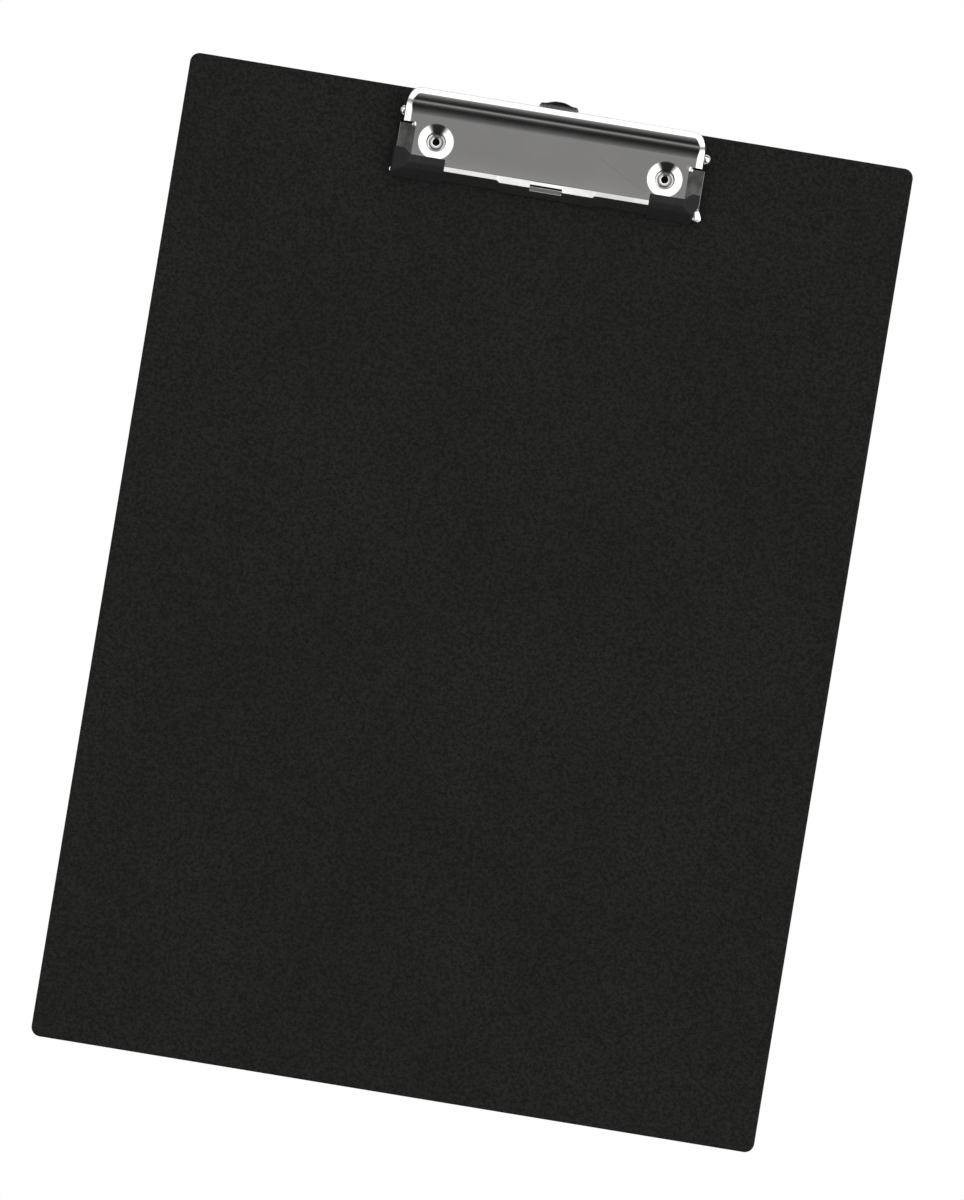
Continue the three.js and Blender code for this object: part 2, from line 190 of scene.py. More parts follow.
def refineLine(line, step):  # cuts every stretch longer than step into equal parts
    made = [line[:1]]
    for a, b in zip(line[:-1], line[1:]):
        count = max(1, math.ceil(np.linalg.norm(b - a) / step - 1e-6))
        parts = np.linspace(0, 1, count + 1)[1:, None]
        made.append(a + (b - a) * parts)
    return np.vstack(made)


def runLength(line):  # distance along the line to each of its points
    return np.concatenate([[0], np.cumsum(np.linalg.norm(np.diff(line, axis=0), axis=1))])


def unit(vectors):  # each vector divided by its own length
    return vectors / np.maximum(np.linalg.norm(vectors, axis=-1, keepdims=True), 1e-9)


def turnedRings(profile, count=64):
    # (radius, z) profile carried round the z axis: x = r cos a, y = r sin a
    angle = np.linspace(0, 2 * math.pi, count, endpoint=False)
    radius, height = np.array(profile, float).T
    rings = np.empty((len(radius), count, 3))
    rings[..., 0] = radius[:, None] * np.cos(angle)
    rings[..., 1] = radius[:, None] * np.sin(angle)
    rings[..., 2] = height[:, None]
    return rings


def smoothStep(low, high, value):  # 0 before low, 1 past high, and 3p^2 - 2p^3 between
    part = np.clip((value - low) / (high - low), 0, 1)
    return part * part * (3 - 2 * part)


class NodeSheet:  # short names for building a node tree
    def __init__(self, tree):
        self.tree = tree
        self.nodes = tree.nodes

    def add(self, kind, **values):
        node = self.nodes.new("ShaderNode" + kind)
        for key, value in values.items():
            setattr(node, key, value)
        return node

    def link(self, source, target):
        self.tree.links.new(source, target)

    def put(self, value, socket):  # a link, a number, or a colour made opaque
        if isinstance(value, (tuple, list)):
            socket.default_value = (*value, 1.0)
        elif isinstance(value, (int, float)):
            socket.default_value = value
        elif value is not None:
            self.link(value, socket)

    def math(self, operation, a, b=None, c=None, clamp=False):  # one operation on sockets or numbers
        node = self.add("Math", operation=operation, use_clamp=clamp)
        for socket, value in zip(node.inputs, (a, b, c)):
            self.put(value, socket)
        return node.outputs[0]

    def times(self, a, b):
        return self.math("MULTIPLY", a, b)

    def ramp(self, value, low, high, outLow=0.0, outHigh=1.0):  # smoothStep between two outputs
        node = self.add("MapRange", interpolation_type="SMOOTHSTEP")
        for socket, number in zip(node.inputs, (value, low, high, outLow, outHigh)):
            self.put(number, socket)
        return node.outputs["Result"]

    def noise(self, vector, scale, detail=3.0, rough=0.5):  # layered noise from 0 to 1
        node = self.add("TexNoise")
        for key, value in (("Vector", vector), ("Scale", scale), ("Detail", detail), ("Roughness", rough)):
            self.put(value, node.inputs[key])
        return node.outputs["Fac"]

    def mix(self, factor, a, b):  # colour a + (b - a) * factor
        node = self.add("Mix", data_type="RGBA")
        for place, value in ((0, factor), (6, a), (7, b)):
            self.put(value, node.inputs[place])
        return node.outputs[2]


def clearSheet(owner):  # the empty node tree of a material or world
    owner.use_nodes = True
    s = NodeSheet(owner.node_tree)
    s.nodes.clear()
    return s


def effectGroup(name, inputs, outputs, build):  # a shader node group with named number inputs and outputs
    group = bpy.data.node_groups.new(name, "ShaderNodeTree")
    group.interface.new_socket("Vector", in_out="INPUT", socket_type="NodeSocketVector")
    for key, value in inputs.items():
        socket = group.interface.new_socket(key, in_out="INPUT", socket_type="NodeSocketFloat")
        socket.default_value = value
    for key in outputs:
        group.interface.new_socket(key, in_out="OUTPUT", socket_type="NodeSocketFloat")
    sheet = NodeSheet(group)
    entry = sheet.nodes.new("NodeGroupInput")
    leave = sheet.nodes.new("NodeGroupOutput")
    for key, value in build(sheet, entry.outputs).items():
        sheet.link(value, leave.inputs[key])
    return group


def buildPebbles(s, given):
    # rounded cells with creases between them and a finer noise on top; a soft speckle for the colour
    stir = s.add("TexNoise")
    s.link(given["Vector"], stir.inputs["Vector"])
    s.link(given["Scale"], stir.inputs["Scale"])
    shift = s.add("VectorMath", operation="SCALE")
    s.link(stir.outputs["Color"], shift.inputs[0])
    s.link(s.math("DIVIDE", 0.6, given["Scale"]), shift.inputs["Scale"])
    place = s.add("VectorMath", operation="ADD")
    s.link(given["Vector"], place.inputs[0])
    s.link(shift.outputs[0], place.inputs[1])
    cells = s.add("TexVoronoi", feature="DISTANCE_TO_EDGE")
    s.link(place.outputs[0], cells.inputs["Vector"])
    s.link(given["Scale"], cells.inputs["Scale"])
    crown = s.ramp(cells.outputs["Distance"], 0.0, 0.32)
    fine = s.noise(given["Vector"], s.times(given["Scale"], 3.1), 2.0)
    height = s.math("ADD", crown, s.times(fine, given["Fine"]))
    specks = s.noise(given["Vector"], s.times(given["Scale"], 0.8), 3.0, 0.6)
    return {"Height": height, "Crown": crown, "Speckle": s.ramp(specks, 0.34, 0.66)}


def buildHairlines(s, given):  # thin marks in two crossing directions, cut into short lengths
    marks = []
    for turn, stretch in ((0.5, 22.0), (-0.9, 30.0)):
        aim = s.add("Mapping")
        aim.inputs["Rotation"].default_value = (0.0, 0.0, turn)
        aim.inputs["Scale"].default_value = (1.0, stretch, 1.0)
        s.link(given["Vector"], aim.inputs["Vector"])
        band = s.noise(aim.outputs[0], given["Scale"], 1.0)
        middle = s.math("ABSOLUTE", s.math("SUBTRACT", band, 0.5))
        marks.append(s.ramp(middle, 0.0, 0.012, 1.0, 0.0))
    places = s.noise(given["Vector"], s.times(given["Scale"], 2.5), 2.0)
    return {"Marks": s.times(s.math("MAXIMUM", *marks), s.ramp(places, 0.5, 0.68))}


def buildHandling(s, given):  # soft blotches where a surface has been handled
    broad = s.noise(given["Vector"], given["Scale"], 4.0, 0.6)
    small = s.noise(given["Vector"], s.times(given["Scale"], 7.0), 3.0, 0.7)
    both = s.math("ADD", s.times(broad, 0.7), s.times(small, 0.3))
    return {"Blotch": s.ramp(both, 0.38, 0.66)}


pebbles = effectGroup("pebbleGrain", {"Scale": 1000.0, "Fine": 0.3}, ("Height", "Crown", "Speckle"),
        buildPebbles)
hairlines = effectGroup("hairlines", {"Scale": 60.0}, ("Marks",), buildHairlines)
handling = effectGroup("handling", {"Scale": 25.0}, ("Blotch",), buildHandling)


def startMaterial(name, **fixed):  # a principled material with its constants on the shader's own sockets
    material = bpy.data.materials.new(name)
    s = clearSheet(material)
    s.shader = s.add("BsdfPrincipled")
    out = s.add("OutputMaterial")
    s.link(s.shader.outputs[0], out.inputs["Surface"])
    for key, value in fixed.items():
        s.shader.inputs[key.replace("_", " ")].default_value = value
    s.place = s.add("TexCoord").outputs["Object"]
    return material, s


def useEffect(s, group, **values):  # places a group with its own values on the object's coordinates
    node = s.add("Group", node_tree=group)
    s.link(s.place, node.inputs["Vector"])
    for key, value in values.items():
        node.inputs[key].default_value = value
    return node.outputs


def paint(s, colour, rough):  # the shader's colour and roughness
    s.link(colour, s.shader.inputs["Base Color"])
    s.link(rough, s.shader.inputs["Roughness"])


def addBump(s, height, strength, distance):  # height times distance in mm, as the shader's normal
    bump = s.add("Bump")
    bump.inputs["Strength"].default_value = strength
    bump.inputs["Distance"].default_value = distance * mm
    s.link(height, bump.inputs["Height"])
    s.link(bump.outputs[0], s.shader.inputs["Normal"])


foil = {
    "tone": (0.0034, 0.0034, 0.0025), "worn": (0.0140, 0.0140, 0.0120),
    "grain": 1150.0,  # cells per metre
    "fine": 0.6,
    "depth": 0.08,  # mm
    "strength": 0.9, "gloss": 0.083, "roughness": (0.50, 0.64),
}


def grainedMaterial(name, look):  # crowns and specks are lighter than creases; handled crowns are smoother
    material, s = startMaterial(name, Specular_IOR_Level=look["gloss"])
    grain = useEffect(s, pebbles, Scale=look["grain"], Fine=look["fine"])
    touched = useEffect(s, handling, Scale=18.0)
    raised = s.math("MULTIPLY_ADD", grain["Crown"], 0.3, s.times(grain["Speckle"], 0.7))
    worn = s.times(raised, s.math("MULTIPLY_ADD", touched["Blotch"], 0.2, 0.8))
    smooth = s.times(grain["Crown"], touched["Blotch"])
    low, high = look["roughness"]
    paint(s, s.mix(worn, look["tone"], look["worn"]), s.ramp(smooth, 0.0, 1.0, high, low))
    addBump(s, grain["Height"], look["strength"], look["depth"])
    return material


nickel = {
    "bright": (0.66, 0.65, 0.635), "dull": (0.60, 0.595, 0.585), "mark": (0.30, 0.295, 0.29),
    "markDepth": 0.65, "markShare": 0.35, "markRoughness": 0.06, "hairlines": 90.0, "handling": 40.0,
    "ripple": 260.0, "rippleShare": 0.12, "strength": 0.25,
    "depth": 0.01,  # mm
    "roughness": (0.085, 0.15),
    "scratchFrom": (14.2, -12.0),  # one longer scratch across the flat face
    "scratchTo": (29.4, -20.2), "scratchWidth": 0.12,
    "scratchWander": 0.3, "scratchFade": (2.0, 4.0),  # to either side; at its start and its end
}


def scratchMask(s, look):  # 1 on a thin straight line between two points of the face
    start = toFrame([*look["scratchFrom"], 0])
    end = toFrame([*look["scratchTo"], 0])
    aim = s.add("Mapping", vector_type="TEXTURE")
    aim.inputs["Location"].default_value = (start[0], start[1], 0.0)
    aim.inputs["Rotation"].default_value = (0.0, 0.0, math.atan2(end[1] - start[1], end[0] - start[0]))
    s.link(s.place, aim.inputs["Vector"])
    parts = s.add("SeparateXYZ")
    s.link(aim.outputs[0], parts.inputs[0])
    reach = look["scratchWander"] * mm
    wander = s.math("MULTIPLY_ADD", s.noise(parts.outputs["X"], 220.0, 1.0), 2 * reach, -reach)
    across = s.math("ABSOLUTE", s.math("ADD", parts.outputs["Y"], wander))
    line = s.ramp(across, 0.0, look["scratchWidth"] * mm, 1.0, 0.0)
    length = float(np.linalg.norm(end - start))
    fadeIn, fadeOut = (fade * mm for fade in look["scratchFade"])
    inside = s.times(s.ramp(parts.outputs["X"], 0.0, fadeIn),
            s.ramp(parts.outputs["X"], length - fadeOut, length, 1.0, 0.0))
    return s.times(line, inside)


def platedMaterial(name, look, scratched=False):  # bright plate, duller where handled, with fine marks
    material, s = startMaterial(name, Metallic=1.0)
    marks = s.times(useEffect(s, hairlines, Scale=look["hairlines"])["Marks"], look["markShare"])
    touched = useEffect(s, handling, Scale=look["handling"])["Blotch"]
    if scratched:
        marks = s.math("MAXIMUM", marks, scratchMask(s, look))
    plate = s.mix(touched, look["bright"], look["dull"])
    tone = s.mix(s.times(marks, look["markDepth"]), plate, look["mark"])
    low, high = look["roughness"]
    rough = s.math("MULTIPLY_ADD", marks, look["markRoughness"], s.ramp(touched, 0.0, 1.0, low, high))
    paint(s, tone, rough)
    ripple = s.times(s.noise(s.place, look["ripple"], 2.0), look["rippleShare"])
    addBump(s, s.math("SUBTRACT", ripple, marks), look["strength"], look["depth"])
    return material


zinc = {
    "tone": (0.46, 0.47, 0.48), "spangle": (0.52, 0.53, 0.54), "grain": 1900.0, "hairlines": 130.0,
    "markRoughness": 0.15, "strength": 0.15, "depth": 0.01, "roughness": (0.30, 0.38),
}


def zincMaterial(name, look):  # plated steel with faint spangles and handling marks
    material, s = startMaterial(name, Metallic=1.0)
    cells = s.add("TexVoronoi")
    s.link(s.place, cells.inputs["Vector"])
    cells.inputs["Scale"].default_value = look["grain"]
    parts = s.add("SeparateColor")
    s.link(cells.outputs["Color"], parts.inputs[0])
    marks = useEffect(s, hairlines, Scale=look["hairlines"])["Marks"]
    low, high = look["roughness"]
    spangles = s.ramp(parts.outputs[1], 0.0, 1.0, low, high)
    rough = s.math("MULTIPLY_ADD", marks, look["markRoughness"], spangles)
    paint(s, s.mix(parts.outputs[0], look["tone"], look["spangle"]), rough)
    addBump(s, s.math("SUBTRACT", parts.outputs[2], marks), look["strength"], look["depth"])
    return material


wire = {
    "tone": (0.30, 0.31, 0.33), "bright": (0.48, 0.49, 0.50), "lines": 2600.0, "film": 240.0,
    "strength": 0.2, "depth": 0.01, "roughness": (0.22, 0.36),
}


def wireMaterial(name, look):  # drawn wire: fine uneven lines and a darker oil film
    material, s = startMaterial(name, Metallic=1.0)
    lines = s.noise(s.place, look["lines"], 2.0)
    film = useEffect(s, handling, Scale=look["film"])["Blotch"]
    paint(s, s.mix(film, look["bright"], look["tone"]), s.ramp(lines, 0.3, 0.7, *look["roughness"]))
    addBump(s, lines, look["strength"], look["depth"])
    return material


rubber = {
    "tone": (0.0085, 0.0085, 0.009), "worn": (0.014, 0.014, 0.0145), "grain": 3200.0, "fine": 0.5,
    "depth": 0.012, "strength": 0.5, "gloss": 0.2, "roughness": (0.42, 0.58),
}

liner = {
    "tone": (0.0125, 0.0125, 0.013), "worn": (0.019, 0.019, 0.0195), "grain": 2100.0, "fine": 0.6,
    "depth": 0.02, "strength": 0.5, "gloss": 0.22, "roughness": (0.5, 0.68),
}

greyboard = {
    "tone": (0.20, 0.165, 0.12), "fleck": (0.32, 0.27, 0.21), "fibre": 900.0,
    "fleckRange": (0.42, 0.62), "strength": 0.4, "depth": 0.05,
}


def greyboardMaterial(name, look):  # pressed fibres with lighter flecks
    material, s = startMaterial(name, Roughness=0.9, Specular_IOR_Level=0.2)
    fibres = s.noise(s.place, look["fibre"], 5.0, 0.7)
    flecks = s.ramp(fibres, *look["fleckRange"])
    s.link(s.mix(flecks, look["tone"], look["fleck"]), s.shader.inputs["Base Color"])
    addBump(s, fibres, look["strength"], look["depth"])
    return material


foilMaterial = grainedMaterial("grained_foil", foil)
linerMaterial = grainedMaterial("liner_sheet", liner)
gripMaterial = grainedMaterial("grip_rubber", rubber)
jawMaterial = platedMaterial("nickel_jaw", nickel, scratched=True)
nickelMaterial = platedMaterial("nickel_fittings", nickel)
baseMaterial = zincMaterial("zinc_plate", zinc)
springMaterial = wireMaterial("spring_wire", wire)
coreMaterial = greyboardMaterial("grey_board", greyboard)
print("materials made:", len(bpy.data.materials))


cover = {
    "edgeRadius": 0.8, "innerRadius": 0.4, "cornerRadius": 3.0, "leastRadius": 0.6, "sheet": 0.4,
    "back": 0.3,  # height of the turned-in foil above the liner's face
    "turnIn": 9.0, "capInset": 16.0, "cornerSteps": 10, "step": 4.0, "bevel": 0.08,
}


def roundedLoop(inset, radius, steps):
    # points round a rectangle set in by inset: four quarter arcs joined by straight sides
    half = (boardHigh[:2] - boardLow[:2]) / 2 - inset
    middle = (boardHigh[:2] + boardLow[:2]) / 2
    angle = np.radians(np.linspace(0, 90, steps + 1))
    loop = []
    for quarter, (sx, sy) in enumerate(((1, 1), (-1, 1), (-1, -1), (1, -1))):
        turn = angle + quarter * math.pi / 2
        centre = middle + (half - radius) * [sx, sy]
        loop.append(centre + radius * np.stack([np.cos(turn), np.sin(turn)], axis=-1))
    return np.vstack(loop)


def coverSection():
    # (inset, height) of the foil, from the front round the edge to the turned-in hem and back inside
    top, bottom, sheet = boardHigh[2], cover["back"], cover["sheet"]
    hem, cap = cover["turnIn"], cover["capInset"]
    foot, head = bottom + sheet, top - sheet
    outer = filletLine([(cap, top), (0, top), (0, bottom), (hem, bottom)], [cover["edgeRadius"]] * 2, 6)
    inner = filletLine([(hem, foot), (sheet, foot), (sheet, head), (cap, head)],
            [cover["innerRadius"]] * 2, 3)
    return np.vstack([refineLine(outer[:2], cover["step"]), outer[2:], inner])


def makeCover():  # the section carried round the board's outline, closed over the front inside and out
    rings = []
    for inset, height in coverSection():
        radius = max(cover["cornerRadius"] - inset, cover["leastRadius"])
        loop = roundedLoop(inset, radius, cover["cornerSteps"])
        rings.append(np.column_stack([loop, np.full(len(loop), height)]))
    rings = np.array(rings)
    points, quads = gridPatch(rings, wrapColumns=True)
    meshPiece("foil_cover", points * mm, quads, foilMaterial, "board", ["front_cover"],
            caps=endCaps(points, rings.shape[1]), rounding=(cover["bevel"], 50))


makeCover()
print("cover wrapped")


jaw = {
    "sheet": 0.9, "face": 10.0,
    # bends of the lip in side view (y, z): its ends, its pressed-out middle, and the step within the middle
    "lip": [(-23.05, 10.0), (-24.6, 8.45), (-27.5, 3.6)], "lipRadii": [0.12, 0.9],
    "bulge": [(-23.05, 10.0), (-25.3, 7.95), (-27.95, 3.6)], "bulgeRadii": [0.12, 2.4],
    "step": [(-23.05, 10.0), (-24.2, 8.9), (-24.75, 7.75), (-26.1, 6.76), (-27.95, 3.6)],
    "stepRadii": [0.12, 0.2, 0.2, 0.2], "lipRows": 84,
    "bow": 0.12,  # how much the face rises towards the bend, from where and over what length
    "bowFrom": -17.5, "bowReach": 5.4,
    "end": [(48.6, 5.64), (48.6, 3.6)],  # the sloped end's bend and foot in front view (x, z)
    "endRadius": 0.9,
    "flat": 43.4,  # half-width of the flat face
    "slit": (-10.7, -11.3),
    "slitCells": 6,  # columns beside the flat face where the slit is closed
    "bulgeWidth": (15.4, 0.7),  # half-width and blend of the bulge and of the step within it
    "stepWidth": (5.0, 0.15),
    "plainColumns": [1.5, 3.0, 7.5, 9.5, 11.5, 13.0, 18.5, 20.5, 22.5, 24.5, 26.5, 28.5],
}

# the front corner's facet: a plane facing outward and forward through a point, blended in past two lines
toe = {
    "point": (47.2, -25.0, 5.6), "slope": 0.46, "fromX": 45.9, "fromY": -22.8, "blend": 1.6,
    "flare": 0.9,  # how far the toe swells outward
    "swell": (-23.6, -26.2),  # y where the swelling starts and where it is full
    "ease": (-26.6, -27.6),  # y where it eases off, and by what share
    "easeShare": 0.9,
}

dimple = {
    "x": 36.35, "y": -15.8,
    "square": 5.9,  # half-width of the square of face cells that it takes up
    "margin": 0.05, "outer": 5.5, "inner": 3.1, "depth": 1.1, "round": 0.3, "ringStep": 0.45,
    "cells": 16,
}

lever = {
    "start": -8.2,  # where the face turns up
    "hollow": 6.3,  # radius of the thumb hollow
    "crest": 3.6,  # radius over the crest
    "angle": 40.5, "half": 47.6, "top": 0.4, "corner": (4.2, 6.5), "rollSide": 2.7, "rollTop": 2.25,
    "rollFrom": -10.0,  # y where the roll starts to narrow towards the top
    "roll": [(0, 0), (0.16, 0), (0.93, -0.31), (1.0, -0.70)],  # (distance, drop) as shares of its width
    "rollRadii": [0.5, 0.1], "ear": 3.2, "rimY": -1.8,
    "rimHeights": [9.0, 10.2, 10.5],  # of the flange's lower edge at the ear, at rimY and at the top
    "flange": 0.25,  # its least height
    "wingCells": 6, "cornerAngles": [*np.arange(2.5, 19, 2.5), 19.0, 19.6, *np.arange(22.5, 45.1, 2.5)],
}

faceZ = jaw["face"]
leverAngle = math.radians(lever["angle"])
crestY = lever["start"] + (lever["hollow"] + lever["crest"]) * math.sin(leverAngle)
crestZ = (faceZ + lever["hollow"] + lever["crest"]
        - (lever["hollow"] + lever["crest"]) * math.cos(leverAngle))


def leverHeight(y):
    # height of the lever's top: flat, a hollow arc rising to the steepest point, a crest arc, then level
    hollow, crest = lever["hollow"], lever["crest"]
    reach = hollow * math.sin(leverAngle)
    bend = lever["start"] + reach
    rise = faceZ + hollow - np.sqrt(hollow**2 - np.clip(y - lever["start"], 0, reach) ** 2)
    fall = crestZ - crest + np.sqrt(crest**2 - np.clip(crestY - y, 0, crestY - bend) ** 2)
    return np.where(y < bend, rise, fall)


def faceColumns():
    # x of the columns across the flat face, with the dimples' squares and the bulge's edges on the list
    square = np.linspace(dimple["x"] - dimple["square"], dimple["x"] + dimple["square"], dimple["cells"] + 1)
    bulgeEdge = jaw["bulgeWidth"][0] + np.linspace(-1.2, 1.2, 9)
    recessEdge = jaw["stepWidth"][0] + np.linspace(-0.25, 0.25, 5)
    right = np.concatenate([jaw["plainColumns"], recessEdge, bulgeEdge, square, [jaw["flat"]]])
    return np.unique(np.round(np.concatenate([-right, [0.0], right]), 4))


def faceRows():  # y of the rows over the dimples, with the slit's two edges on the list
    top = dimple["y"] + dimple["square"]
    bottom = dimple["y"] - dimple["square"]
    back, front = jaw["slit"]
    return np.concatenate([[top, (top + back) / 2, back], np.linspace(front, bottom, dimple["cells"] - 2)])


def lipLine(bends="lip"):
    # (y, z) from the last face row over the bends to the foot, in equal steps along its length
    start = (dimple["y"] - dimple["square"], faceZ)
    line = filletLine([start, *jaw[bends]], jaw[bends + "Radii"], 7)
    length = runLength(line)
    even = np.linspace(0, length[-1], jaw["lipRows"])
    return np.column_stack([np.interp(even, length, line[:, 0]), np.interp(even, length, line[:, 1])])


def endLine():
    # (x, z) from the flat face over the bend to the skirt's foot; it starts at the wing's columns
    line = refineLine(filletLine([(jaw["flat"], faceZ), *jaw["end"]], [jaw["endRadius"]], 8), 0.4)
    first = wingColumns()[:jaw["slitCells"]]
    start = np.column_stack([first, np.interp(first, line[:, 0], line[:, 1])])
    return np.vstack([start, line[line[:, 0] > first[-1] + 0.05]])


def wingColumns():  # x from the flat face's edge to the start of the lever's roll
    return np.linspace(jaw["flat"], lever["half"] - lever["rollSide"], lever["wingCells"] + 1)


def lineNormals(line):  # unit normals of a 2D line, to its left
    along = unit(np.gradient(line, axis=0))
    return np.stack([-along[:, 1], along[:, 0]], axis=-1)


def bodyGrid(xs, rows):
    # flat face rows, then the lip across x: its side view changes smoothly from lip to bulge to step
    bulge, step = (smoothStep(half + blend, half - blend, np.abs(xs))[None, :, None]
            for half, blend in (jaw["bulgeWidth"], jaw["stepWidth"]))
    plain, outer, inner = (lipLine(bends)[1:, None] for bends in ("lip", "bulge", "step"))
    lip = plain + (outer - plain) * bulge + (inner - outer) * step
    face = np.repeat(np.column_stack([rows, np.full(len(rows), faceZ)])[:, None], len(xs), axis=1)
    side = np.vstack([face, lip])
    side[..., 1] += faceBow(side[..., 0])
    return np.dstack([np.repeat(xs[None], len(side), axis=0), side])


def faceBow(y):  # a slight rise of the face towards the lip, by the square of the distance
    return jaw["bow"] * np.clip((jaw["bowFrom"] - y) / jaw["bowReach"], 0, 1) ** 2


def endGrid(rows, side):
    # the end's line carried along y; where the lip is lower than the end, the lip's height rules
    lip = lipLine()[1:]
    ys = np.concatenate([rows, lip[:, 0]])
    zs = np.concatenate([np.full(len(rows), faceZ), lip[:, 1]]) + faceBow(ys)
    line = endLine()
    points = np.empty((len(ys), len(line), 3))
    points[..., 0] = side * line[:, 0]
    points[..., 1] = ys[:, None]
    bowed = line[:, 1] + faceBow(ys)[:, None] * smoothStep(jaw["flat"] + 1.5, jaw["flat"], line[:, 0])
    height = np.minimum(zs[:, None], bowed)
    toeX, toeY, toeZ = toe["point"]
    facet = toeZ - toe["slope"] * ((line[:, 0] - toeX) + (toeY - ys[:, None]))
    share = (smoothStep(toe["fromX"], toe["fromX"] + toe["blend"], line[:, 0])
            * smoothStep(toe["fromY"], toe["fromY"] - toe["blend"], ys[:, None]))
    points[..., 2] = height + (np.minimum(height, facet) - height) * share
    eased = 1 - toe["easeShare"] * smoothStep(*toe["ease"], ys[:, None])
    bulb = share * smoothStep(*toe["swell"], ys[:, None]) * eased
    points[..., 0] += side * toe["flare"] * bulb * smoothStep(toe["fromX"], jaw["end"][0][0], line[:, 0])
    return points


def squareRim(points, rows, columns):  # the loop of grid points round a block of cells, in order
    r0, r1 = rows
    c0, c1 = columns
    return np.vstack([points[r0, c0:c1], points[r0:r1, c1], points[r1, c1:c0:-1], points[r1:r0:-1, c0]])


def circleRings(rim, centre, section, level):
    # from a square's rim in to circles about the centre, one for each (radius, height over the level)
    outward = unit(rim[:, :2] - centre)
    rings = [rim]
    for radius, height in section:
        rings.append(np.column_stack([centre + outward * radius, np.full(len(rim), level + height)]))
    return np.array(rings)


def dimpleSection():  # (radius, height) over a round shoulder and down a cone to the hole
    outer, inner, depth = dimple["outer"], dimple["inner"], dimple["depth"]
    radius = dimple["round"] / math.tan(math.atan2(depth, outer - inner) / 2)
    line = filletLine([(dimple["square"] - dimple["margin"], 0), (outer, 0), (inner, -depth)], [radius], 5)
    return refineLine(line, dimple["ringStep"])


def leverOutline():
    # right half of the lever's outline from the slit up the side and round the elliptic corner to the top
    radii = np.array(lever["corner"])
    centre = [lever["half"], lever["top"]] - radii
    rows = faceRows()[:3][::-1]
    side = np.concatenate([rows, np.linspace(rows[-1], centre[1], 13)[1:]])
    straight = np.column_stack([np.full(len(side), lever["half"]), side])
    turns = (lever["cornerAngles"], np.linspace(45, 90, lever["wingCells"] + 1)[1:])
    lower, upper = (centre + radii * np.column_stack([np.cos(turn), np.sin(turn)])
            for turn in map(np.radians, turns))
    return np.vstack([straight, lower]), upper


def fullOutline():
    # the whole outline from the right slit over the top to the left, with inward normals and roll widths
    sidePart, cornerPart = leverOutline()
    xs = faceColumns()[::-1] * (lever["half"] - lever["corner"][0]) / jaw["flat"]
    across = np.column_stack([xs, np.full(len(xs), lever["top"])])[1:-1]
    right = np.vstack([sidePart, cornerPart])
    line = np.vstack([right, across, (right * [-1, 1])[::-1]])
    inward = lineNormals(line)
    inward[0], inward[-1] = (-1, 0), (1, 0)
    share = smoothStep(lever["rollFrom"], lever["top"] - 2, line[:, 1])
    width = lever["rollSide"] + (lever["rollTop"] - lever["rollSide"]) * share
    return line, inward, width, len(sidePart), len(cornerPart)


def earEdge(y):
    # height of the side flange's lower edge: round the hinge on the ear, then a shallow rim
    earEnd = hingeY + lever["ear"]
    circle = hingeZ - np.sqrt(np.clip(lever["ear"] ** 2 - (y - hingeY) ** 2, 0, None))
    rim = np.interp(y, [earEnd, lever["rimY"], lever["top"]], lever["rimHeights"])
    return np.where(y > earEnd, rim, circle)


def leverStrip(line, inward, width):
    # the rolled edge: from the level inside, over the roll, down the flange to its lower edge
    rows = []
    for share, drop in filletLine(lever["roll"], lever["rollRadii"], 6):
        plan = line + inward * (width * (1 - share))[:, None]
        rows.append(np.column_stack([plan, leverHeight(plan[:, 1]) + drop * width]))
    foot = rows[-1][:, 2]
    edge = np.minimum(earEdge(line[:, 1]), foot - lever["flange"])
    for part in np.linspace(0, 1, 9)[1:]:
        rows.append(np.column_stack([line, foot + (edge - foot) * part]))
    return np.array(rows)


def leverPatch(line, inward, width, sideCount):
    # a four-sided patch between the roll and the first face row, blended linearly from its four edges
    inner = line + inward * width[:, None]
    start = 2
    right = inner[start:sideCount]
    left = inner[::-1][start:sideCount]
    top = inner[sideCount - 1:len(line) - sideCount + 1][::-1]
    xs = faceColumns()
    wing = wingColumns()[1:]
    bottomX = np.concatenate([-wing[::-1], xs, wing])
    bottom = np.column_stack([bottomX, np.full(len(bottomX), inner[start, 1])])
    up, along = runLength(right), runLength(top)
    t = (up / up[-1])[:, None, None]
    s = (along / along[-1])[None, :, None]
    ruledUp = (1 - t) * bottom[None] + t * top[None]
    ruledAcross = (1 - s) * left[:, None] + s * right[:, None]
    corners = ((1 - s) * (1 - t) * bottom[0] + s * (1 - t) * bottom[-1]
            + (1 - s) * t * top[0] + s * t * top[-1])
    plan = ruledUp + ruledAcross - corners
    return np.dstack([plan, leverHeight(plan[..., 1])]), bottom


